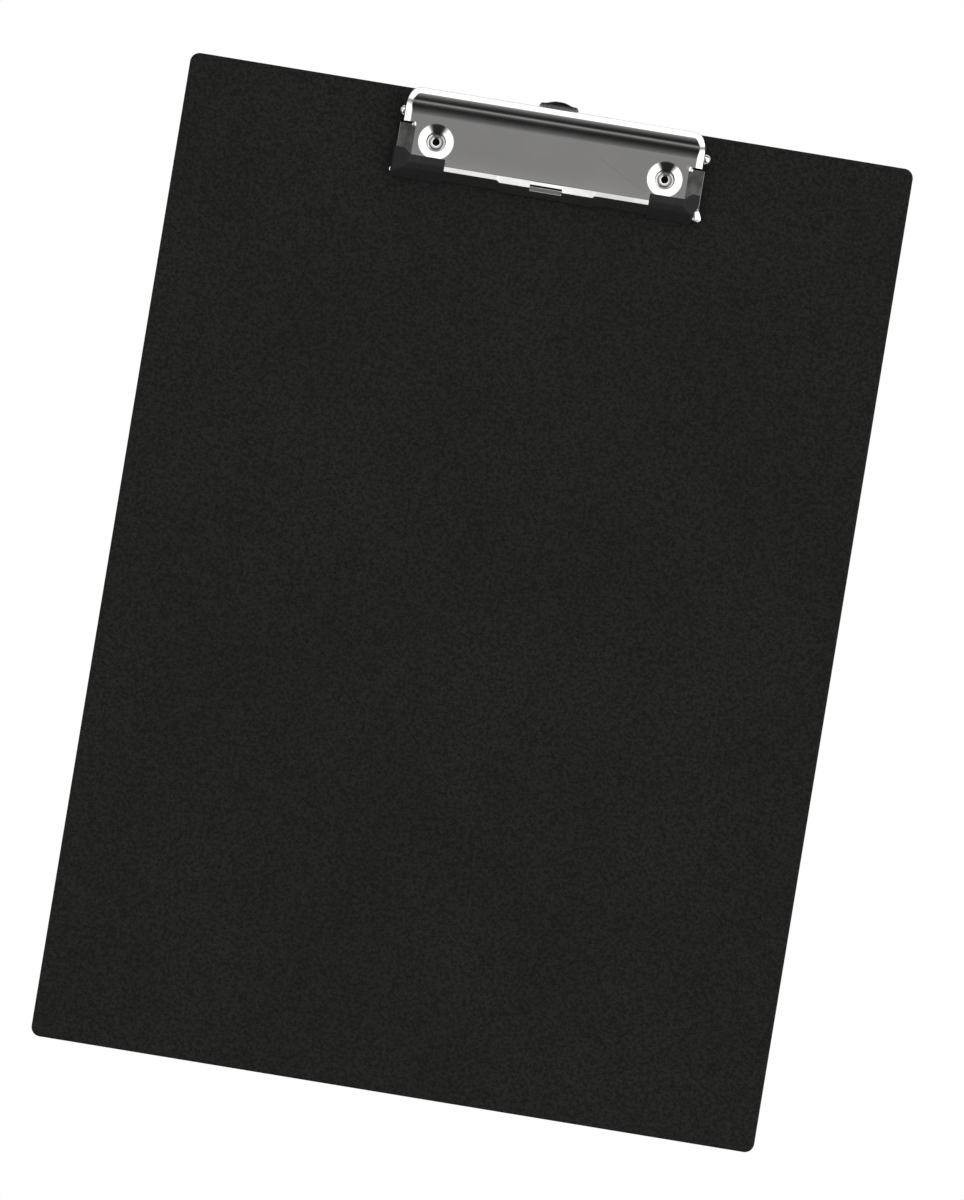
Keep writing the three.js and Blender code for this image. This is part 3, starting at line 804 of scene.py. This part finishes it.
def makeJaw():  # one thin sheet from all its patches, thickened downwards
    xs = faceColumns()
    rows = faceRows()
    cells = dimple["cells"]
    face = bodyGrid(xs, rows)
    keep = np.ones((face.shape[0] - 1, face.shape[1] - 1), bool)
    patches = []
    for side in (-1, 1):
        first = int(np.argmin(np.abs(xs - (side * dimple["x"] - dimple["square"]))))
        keep[:cells, first:first + cells] = False
        rim = squareRim(face, (0, cells), (first, first + cells))
        rings = circleRings(rim, np.array([side * dimple["x"], dimple["y"]]), dimpleSection(), faceZ)
        patches.append(gridPatch(rings, wrapColumns=True))
        patches.append(gridPatch(endGrid(rows[3:], side)[:, ::side]))
    patches.append(gridPatch(face, keep))
    line, inward, width, sideCount, cornerCount = fullOutline()
    patches.append(gridPatch(leverStrip(line, inward, width)))
    plan, bottom = leverPatch(line, inward, width, sideCount)
    patches.append(gridPatch(plan))
    for side in (-1, 1):
        closed = wingColumns()[:jaw["slitCells"]]
        end = endLine()[:jaw["slitCells"]]
        back, front = jaw["slit"]
        upper = levelGrid(side * closed, [back], faceZ)[0]
        lower = np.column_stack([side * end[:, 0], np.full(len(end), front), end[:, 1]])
        patches.append(gridPatch(np.stack([upper, lower])))
    for part in (bottom[:cornerCount + 1], bottom[-cornerCount - 1:]):
        patches.append(gridPatch(levelGrid(part[:, 0], rows[:3], faceZ)))
    points, quads = joinPatches(patches)
    meshPiece("jaw_and_lever", toFrame(points), quads, jawMaterial, "jaw", ["jaw_plate"],
            weld=0.02, facing=upward, sheet=jaw["sheet"], rounding=(0.05, 55))


makeJaw()
print("jaw plate pressed")


grip = {
    "from": 32.5, "outer": {"left": 48.7, "right": 47.75},
    "toeCut": {"left": 0.0, "right": 1.3},  # how far the outer edge has slipped back off the metal toe,
    "toeCutFrom": (-22.6, -25.2),  # and y where that starts and where it is full
    "lipStart": -20.9, "sideStart": -19.0,
    "sideFrom": -23.5,  # y where the side starts to reach further back than the top
    "sideBlend": 3.0, "gap": 0.1, "thickness": 0.6, "foot": (-27.8, 3.13), "radii": [0.8, 1.2],
    "mitre": 9.0, "groove": 40.6, "grooveDepth": 0.2, "grooveWidth": 0.35, "step": 0.3, "columns": 96,
}


def gripSurface(name, sign):
    # the jaw's own end, lip and face joined by a soft mitre: the drop is a power mean of both drops
    lip = filletLine([(grip["lipStart"], faceZ), *jaw["lip"][:2], grip["foot"]], grip["radii"], 7)
    lip = refineLine(lip, grip["step"])
    y = lip[:, :1]
    outer = grip["outer"][name] - grip["toeCut"][name] * smoothStep(*grip["toeCutFrom"], y)
    x = grip["from"] + (outer - grip["from"]) * np.linspace(0, 1, grip["columns"])
    line = endLine()
    endDrop = faceZ - np.interp(x, line[:, 0], line[:, 1])
    lipDrop = faceZ - lip[:, 1:]
    power = grip["mitre"]
    drop = (np.maximum(lipDrop, 1e-6) ** power + np.maximum(endDrop, 1e-6) ** power) ** (1 / power)
    side = smoothStep(jaw["flat"], jaw["flat"] + grip["sideBlend"], x)
    y = y + side * (grip["sideStart"] - grip["lipStart"]) * smoothStep(grip["sideFrom"], grip["lipStart"], y)
    return np.stack([sign * x, y, faceZ - drop], axis=-1)


def gridNormals(points):  # cross product of the two grid directions
    return unit(np.cross(np.gradient(points, axis=0), np.gradient(points, axis=1)))


def makeGrip(name, sign):  # the surface moved out along its normals, less where the groove runs
    points = gripSurface(name, sign)
    normal = gridNormals(points)
    normal *= np.sign(normal[2, 2, 2])
    across = (np.abs(points[..., 0]) - grip["groove"]) / grip["grooveWidth"]
    groove = grip["grooveDepth"] * np.exp(-across ** 2)
    outer = points + normal * (grip["gap"] + grip["thickness"] - groove)[..., None]
    surface, quads = gridPatch(outer)
    meshPiece("grip_" + name, toFrame(surface), quads, gripMaterial, "jaw", ["corner_grip_" + name],
            weld=0.01, facing=upward, sheet=grip["thickness"], rounding=(0.16, 45))


makeGrip("left", -1)
makeGrip("right", 1)
print("corner grips moulded")


rod = {
    "radius": 1.3, "headStart": 47.65, "end": {"left": 49.25, "right": 49.8},
    "dome": [(axisGap, 0), (0.85, -0.1), (1.53, -0.8)],  # (radius, x) from the head's end
    "side": [(1.7, 0.5), (1.7, 0), (1.3, 0), (1.3, -0.3)],  # (radius, x) from the head's start
    "radii": [1.2, 1.0, 0.5, 0.1, 0.05],
}

# (radius, z): the flared tail from the axis out, then the head over its curled rim and down the bore
rivet = {
    "tail": [(axisGap, 0.5), (1.1, 0.5), (1.25, 0.3), (2.6, 0.1), (2.9, 0.35), (1.8, 0.55), (1.8, 1.2)],
    "tailRadii": [0.08, 0.08, 0.15, 0.1, 0.1], "shank": (1.8, 3.0),
    "head": [(1.8, 4.2), (3.65, 4.2), (3.65, 4.6), (2.15, 4.62), (2.12, 5.75), (1.12, 5.58), (1.1, 4.75),
        (1.05, 2.6), (axisGap, 2.6)],
    "headRadii": [0.08, 0.1, 0.1, 0.12, 0.12, 0.3, 0.1],
}

washer = {
    "ring": [(2.0, 0.95), (2.0, 1.25), (4.8, 1.2), (4.8, 0.7), (2.0, 0.65), (2.0, 0.95)],
    "radii": [0.08, 0.12, 0.12, 0.08],
}


def headProfile(end):  # (radius, x) from the head's middle over its dome to the rod, and half way in
    dome = np.array(rod["dome"]) + [0, end]
    side = np.array(rod["side"]) + [0, rod["headStart"]]
    return np.vstack([filletLine([*dome, *side], rod["radii"], 5), [rod["radius"], rod["headStart"] / 2]])


def makeRod():  # both heads' profiles joined and turned about the hinge's axis, which lies along x
    right, left = (headProfile(rod["end"][side]) for side in ("right", "left"))
    profile = np.vstack([right, [rod["radius"], 0], (left * [1, -1])[::-1]])
    rings = turnedRings(profile, 48)[..., [2, 0, 1]] + [0, hingeY, hingeZ]
    points, quads = gridPatch(rings, wrapColumns=True)
    meshPiece("hinge_rod", toFrame(points), quads, nickelMaterial, "board", ["pivot_rod"],
            weld=0.006, rounding=(0.05, 50))


def makeFittings(side, sign):  # a tubular rivet and the washer under its tail, both turned about z
    place = [sign * dimple["x"], dimple["y"], 0]
    profile = np.vstack([filletLine(rivet["tail"], rivet["tailRadii"], 4), rivet["shank"],
            filletLine(rivet["head"], rivet["headRadii"], 5)])
    points, quads = gridPatch(turnedRings(profile) + place, wrapColumns=True)
    meshPiece("tube_rivet_" + side, toFrame(points), quads, nickelMaterial, "board",
            ["rivet_" + side])
    ring = filletLine(washer["ring"], washer["radii"], 3)[:-1]
    points, quads = gridPatch(turnedRings(ring) + place, wrapRows=True, wrapColumns=True)
    meshPiece("tail_washer_" + side, toFrame(points), quads, baseMaterial, "board",
            ["rivet_washer_" + side])


spring = {
    "x": 20.0, "turns": 5, "pitch": 0.9, "wire": 0.4, "mean": 1.9, "perTurn": 40,
    "baseLeg": [(-2.8, 4.62), (hingeY + 0.35, 4.79)],  # (y, z) of its free end and of the coil's start
    "sweep": (-82, -54),  # degrees of the lever's hollow that the leg follows
}


def springPath(x):
    # straight leg on the base, a helix of turns about the rod, and a leg that follows the lever's hollow
    turns, length = spring["turns"], spring["turns"] * spring["pitch"]
    part = np.linspace(0, 1, int(spring["perTurn"] * (turns + 0.5)) + 1)
    angle = -math.pi / 2 - part * 2 * math.pi * (turns + 0.5)
    coil = np.column_stack([x - length / 2 + length * part, hingeY + spring["mean"] * np.cos(angle),
            hingeZ + spring["mean"] * np.sin(angle)])
    baseLeg = np.linspace(*([x - length / 2, *point] for point in spring["baseLeg"]), 9)
    centreZ = faceZ + lever["hollow"]
    sweep = np.radians(np.linspace(*spring["sweep"], 10))
    reach = centreZ - hingeZ - spring["mean"]
    leg = np.column_stack([np.full(10, x + length / 2), lever["start"] + reach * np.cos(sweep),
            centreZ + reach * np.sin(sweep)])
    return np.vstack([baseLeg, coil, leg])


def tubeAlong(path, radius, count=14):
    # a round section carried along the path on a frame that is turned as little as possible
    along = unit(np.gradient(path, axis=0))
    side = unit(np.cross(along, [1.0, 0.0, 0.0]))
    up = np.cross(side, along)
    angle = np.linspace(0, 2 * math.pi, count, endpoint=False)[None, :, None]
    return path[:, None] + radius * (np.cos(angle) * side[:, None] + np.sin(angle) * up[:, None])


def makeSpring(side, sign):  # round wire along the path; it is attached to no body, and its placing is baked into its points
    x = sign * spring["x"]
    tube = tubeAlong(springPath(x), spring["wire"])
    points, quads = gridPatch(tube, wrapColumns=True)
    piece = meshPiece("coil_spring_" + side, toFrame(points), quads, springMaterial, None,
            ["torsion_spring_" + side], caps=endCaps(points, tube.shape[1]))
    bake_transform(piece)


makeRod()
for side, sign in (("left", -1), ("right", 1)):
    makeFittings(side, sign)
    makeSpring(side, sign)
print("hinge, rivets and springs made")


hook = {
    "half": 6.25, "under": 3.2, "sheet": 0.8, "inner": -17.2, "lugHalf": 7.3, "lugLength": 1.2,
    "hole": (-7.0, 3.1),  # y and radius
    "holeRim": 0.35, "holeMargin": 0.9, "cells": 12, "bendRadius": 2.2, "bendStart": -0.9, "bend": 50.0,
    "shoulder": 2.0, "shoulderRound": 0.9, "nose": 2.9,
    "noseEdge": (5.0, 0.9),  # half-widths where the nose starts and where it is full
    "edgeColumns": [4.7, 5.2, 5.6, 5.9, 6.1], "stemRows": [-14.0, -12.5], "neckRows": [-2.0, -1.4],
    "lipRows": 18,
}


def hookHeight(y):
    # top of the tongue: level, an arc up by the bend angle, then a straight slope
    r, angle = hook["bendRadius"], math.radians(hook["bend"])
    start = hook["bendStart"]
    finish = start + r * math.sin(angle)
    arc = r - np.sqrt(np.maximum(r**2 - np.clip(y - start, 0, finish - start) ** 2, 0))
    return hook["under"] + hook["sheet"] + arc + np.maximum(y - finish, 0) * math.tan(angle)


def hookTip(x):  # plan outline of the finger lip: rounded shoulders and a wider nose in the middle
    nose = (hook["nose"] - hook["shoulder"]) * smoothStep(*hook["noseEdge"], np.abs(x))
    size = hook["shoulderRound"]
    shoulder = size * smoothStep(hook["half"] - size, hook["half"], np.abs(x)) ** 2
    return hook["shoulder"] + nose - shoulder


def hookSheet(y):  # upright thickness of the tongue: the sheet's own divided by the cosine of its slope
    r, start = hook["bendRadius"], hook["bendStart"]
    reach = np.clip(y - start, 0, r * math.sin(math.radians(hook["bend"])))
    return hook["sheet"] / np.sqrt(1 - (reach / r) ** 2)


def closedSheet(points, quads, thicknessAt):
    # a sheet, the same sheet lowered by its thickness, and a rim of quads between their free edges
    points, number = np.unique(np.round(points, 3), axis=0, return_inverse=True)
    quads = number.reshape(-1)[quads]
    edges = np.concatenate([quads[:, [corner, (corner + 1) % 4]] for corner in range(4)])
    first, count = np.unique(np.sort(edges, axis=1), axis=0, return_index=True, return_counts=True)[1:]
    free = edges[first[count == 1]]
    total = len(points)
    rim = np.hstack([free[:, ::-1], free + total])
    lowered = points - np.outer(thicknessAt(points[:, 1]), [0, 0, 1])
    return np.vstack([points, lowered]), np.vstack([quads, quads[:, ::-1] + total, rim])


def makeHook():  # a tongue with a nail hole, a bent lip at one end and a cross bar of lugs at the other
    holeY, holeRadius = hook["hole"]
    square, cells = holeRadius + hook["holeMargin"], hook["cells"]
    middle = np.linspace(-square, square, cells + 1)
    edge = np.array([*hook["edgeColumns"], hook["half"]])
    xs = np.concatenate([-edge[::-1], middle, edge])
    lugEnd = hook["inner"] + hook["lugLength"]
    stem = [lugEnd, *hook["stemRows"]]
    rows = np.concatenate([stem, holeY + middle, hook["neckRows"], [hook["bendStart"]]])
    x = np.repeat(xs[None], len(rows) + hook["lipRows"], axis=0)
    part = np.linspace(0, 1, hook["lipRows"] + 1)[1:, None]
    lip = hook["bendStart"] + (hookTip(xs) - hook["bendStart"])[None] * part
    y = np.vstack([np.repeat(rows[:, None], len(xs), axis=1), lip])
    tongue = np.stack([x, y, hookHeight(y)], axis=-1)
    keep = np.ones((x.shape[0] - 1, x.shape[1] - 1), bool)
    r0, c0 = len(stem), len(edge)
    keep[r0:r0 + cells, c0:c0 + cells] = False
    rim = squareRim(tongue, (r0, r0 + cells), (c0, c0 + cells))
    top = hook["under"] + hook["sheet"]
    hole = circleRings(rim, np.array([0, holeY]), [(holeRadius + hook["holeRim"], 0), (holeRadius, 0)], top)
    lugs = levelGrid([-hook["lugHalf"], *xs, hook["lugHalf"]], np.linspace(hook["inner"], lugEnd, 3), top)
    patches = [gridPatch(tongue, keep), gridPatch(hole, wrapColumns=True), gridPatch(lugs)]
    points, quads = closedSheet(*joinPatches(patches), hookSheet)
    meshPiece("hanging_hook", toFrame(points), quads, nickelMaterial, "hook", ["hanger_hook"],
            weld=0.01, rounding=(0.04, 45))


makeHook()
print("hook bent")


# the CAD's own shapes, each with its material and the width of its rounded edges
keptNodes = {
    "base_plate": (baseMaterial, 0.12), "back_liner": (linerMaterial, 0.04),
    "board_core": (coreMaterial, 0.1),
}

for name, (material, edge) in keptNodes.items():
    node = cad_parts[name]
    node.data.materials.clear()
    node.data.materials.append(material)
    weld = node.modifiers.new("weld", "WELD")
    weld.merge_threshold = 0.002 * mm
    finishEdges(node, edge, 40)
print("kept nodes finished:", ", ".join(keptNodes))


studio = {
    "floorSize": 6.0,  # m
    "floorLevel": -0.0003, "floorGlow": 1.0,
    "front": (0.70, 0.93),  # cosines of the bearing from straight ahead, where each part fades in
    "back": (-0.9, -0.6), "rightEdge": 0.4,
    "sides": (0.95, 0.3),  # gain on the left, and what the right adds
}

# radiance by angle from straight up: a dim grey overhead, dark in front, soft boxes to the sides and behind
overhead = [(0, 0.36), (5, 0.41), (11, 0.55)]
horizon = [(78, 0.1), (82, 0.05), (86, 0.3), (90, 1.0)]
frontRamp = [(0, 0.36), (6, 0.27), (15, 0.18), (25, 0.11), (35, 0.055), (45, 0.03), (56, 0.03), (67, 0.12),
        (75, 0.4), (80, 1.1), (85, 2.3), (90, 1.2)]
sideRamp = [*overhead, (20, 1.0), (32, 2.4), (68, 2.4), (75, 1.2), *horizon]
backRamp = [*overhead, (20, 1.1), (30, 2.5), (49, 2.5), (58, 0.8), (72, 0.6), *horizon]


def rampNode(s, angle, stops):  # radiance against the angle, straight between the stops
    node = s.add("FloatCurve")
    curve = node.mapping.curves[0]
    top = max(value for _, value in stops)
    for degrees, value in stops[1:-1]:
        curve.points.new(degrees / 90, value / top)
    curve.points[0].location = (0.0, stops[0][1] / top)
    curve.points[-1].location = (1.0, stops[-1][1] / top)
    for point in curve.points:
        point.handle_type = "VECTOR"
    node.mapping.update()
    s.link(angle, node.inputs["Value"])
    return s.times(node.outputs[0], top)


def blendValues(s, share, a, b):  # a + (b - a) * share
    return s.math("MULTIPLY_ADD", s.math("SUBTRACT", b, a), share, a)


def makeWorld():
    # the angle from straight up picks the radiance on each ramp; the bearing (y or x over the flat
    # distance) mixes front, sides and back
    world = bpy.data.worlds.new("soft_studio")
    scene.world = world
    s = clearSheet(world)
    look = s.add("TexCoord").outputs["Generated"]
    parts = s.add("SeparateXYZ")
    s.link(look, parts.inputs[0])
    up = parts.outputs["Z"]
    angle = s.math("DIVIDE", s.math("ARCCOSINE", s.math("MINIMUM", up, 1.0)), math.pi / 2, clamp=True)
    flat = s.math("SQRT", s.math("SUBTRACT", 1.0001, s.times(up, up)))
    ahead = s.math("DIVIDE", s.times(parts.outputs["Y"], -1.0), flat)
    right = s.ramp(s.math("DIVIDE", parts.outputs["X"], flat), 0.0, studio["rightEdge"])
    left, rightExtra = studio["sides"]
    sides = s.times(rampNode(s, angle, sideRamp), s.math("MULTIPLY_ADD", right, rightExtra, left))
    backShare = s.ramp(ahead, *studio["back"], 1.0, 0.0)
    around = blendValues(s, backShare, sides, rampNode(s, angle, backRamp))
    radiance = blendValues(s, s.ramp(ahead, *studio["front"]), around, rampNode(s, angle, frontRamp))
    background = s.add("Background")
    s.link(radiance, background.inputs["Strength"])
    out = s.add("OutputWorld")
    s.link(background.outputs[0], out.inputs["Surface"])


def makeFloor():  # one glowing square
    material = bpy.data.materials.new("white_floor")
    s = clearSheet(material)
    glow = s.add("Emission")
    glow.inputs["Strength"].default_value = studio["floorGlow"]
    out = s.add("OutputMaterial")
    s.link(glow.outputs[0], out.inputs["Surface"])
    half, level = studio["floorSize"] / 2, studio["floorLevel"]
    corners = [(-half, -half, level), (half, -half, level), (half, half, level), (-half, half, level)]
    mesh = bpy.data.meshes.new("floor")
    mesh.from_pydata(corners, [], [(0, 1, 2, 3)])
    floor = addObject("floor", mesh)
    floor.data.materials.append(material)


camera = {
    "lens": 400.0, "sensor": 36.0,
    "coverage": 376.8,  # mm of the board's plane along the picture's long side
    "aim": (2.92, 1.29),  # the board point at the picture's middle
    "roll": 9.333,
}


def makeCamera():  # straight above; distance = coverage * lens / sensor
    data = bpy.data.cameras.new("camera")
    data.lens = camera["lens"]
    data.sensor_width = camera["sensor"]
    data.clip_end = 50
    viewer = addObject("camera", data)
    distance = camera["coverage"] * camera["lens"] / camera["sensor"]
    viewer.location = (camera["aim"][0] * mm, camera["aim"][1] * mm, (distance + boardHigh[2]) * mm)
    viewer.rotation_euler = (0.0, 0.0, math.radians(camera["roll"]))
    scene.camera = viewer


makeWorld()
makeFloor()
makeCamera()
scene.view_settings.view_transform = "Standard"
print("studio lit")
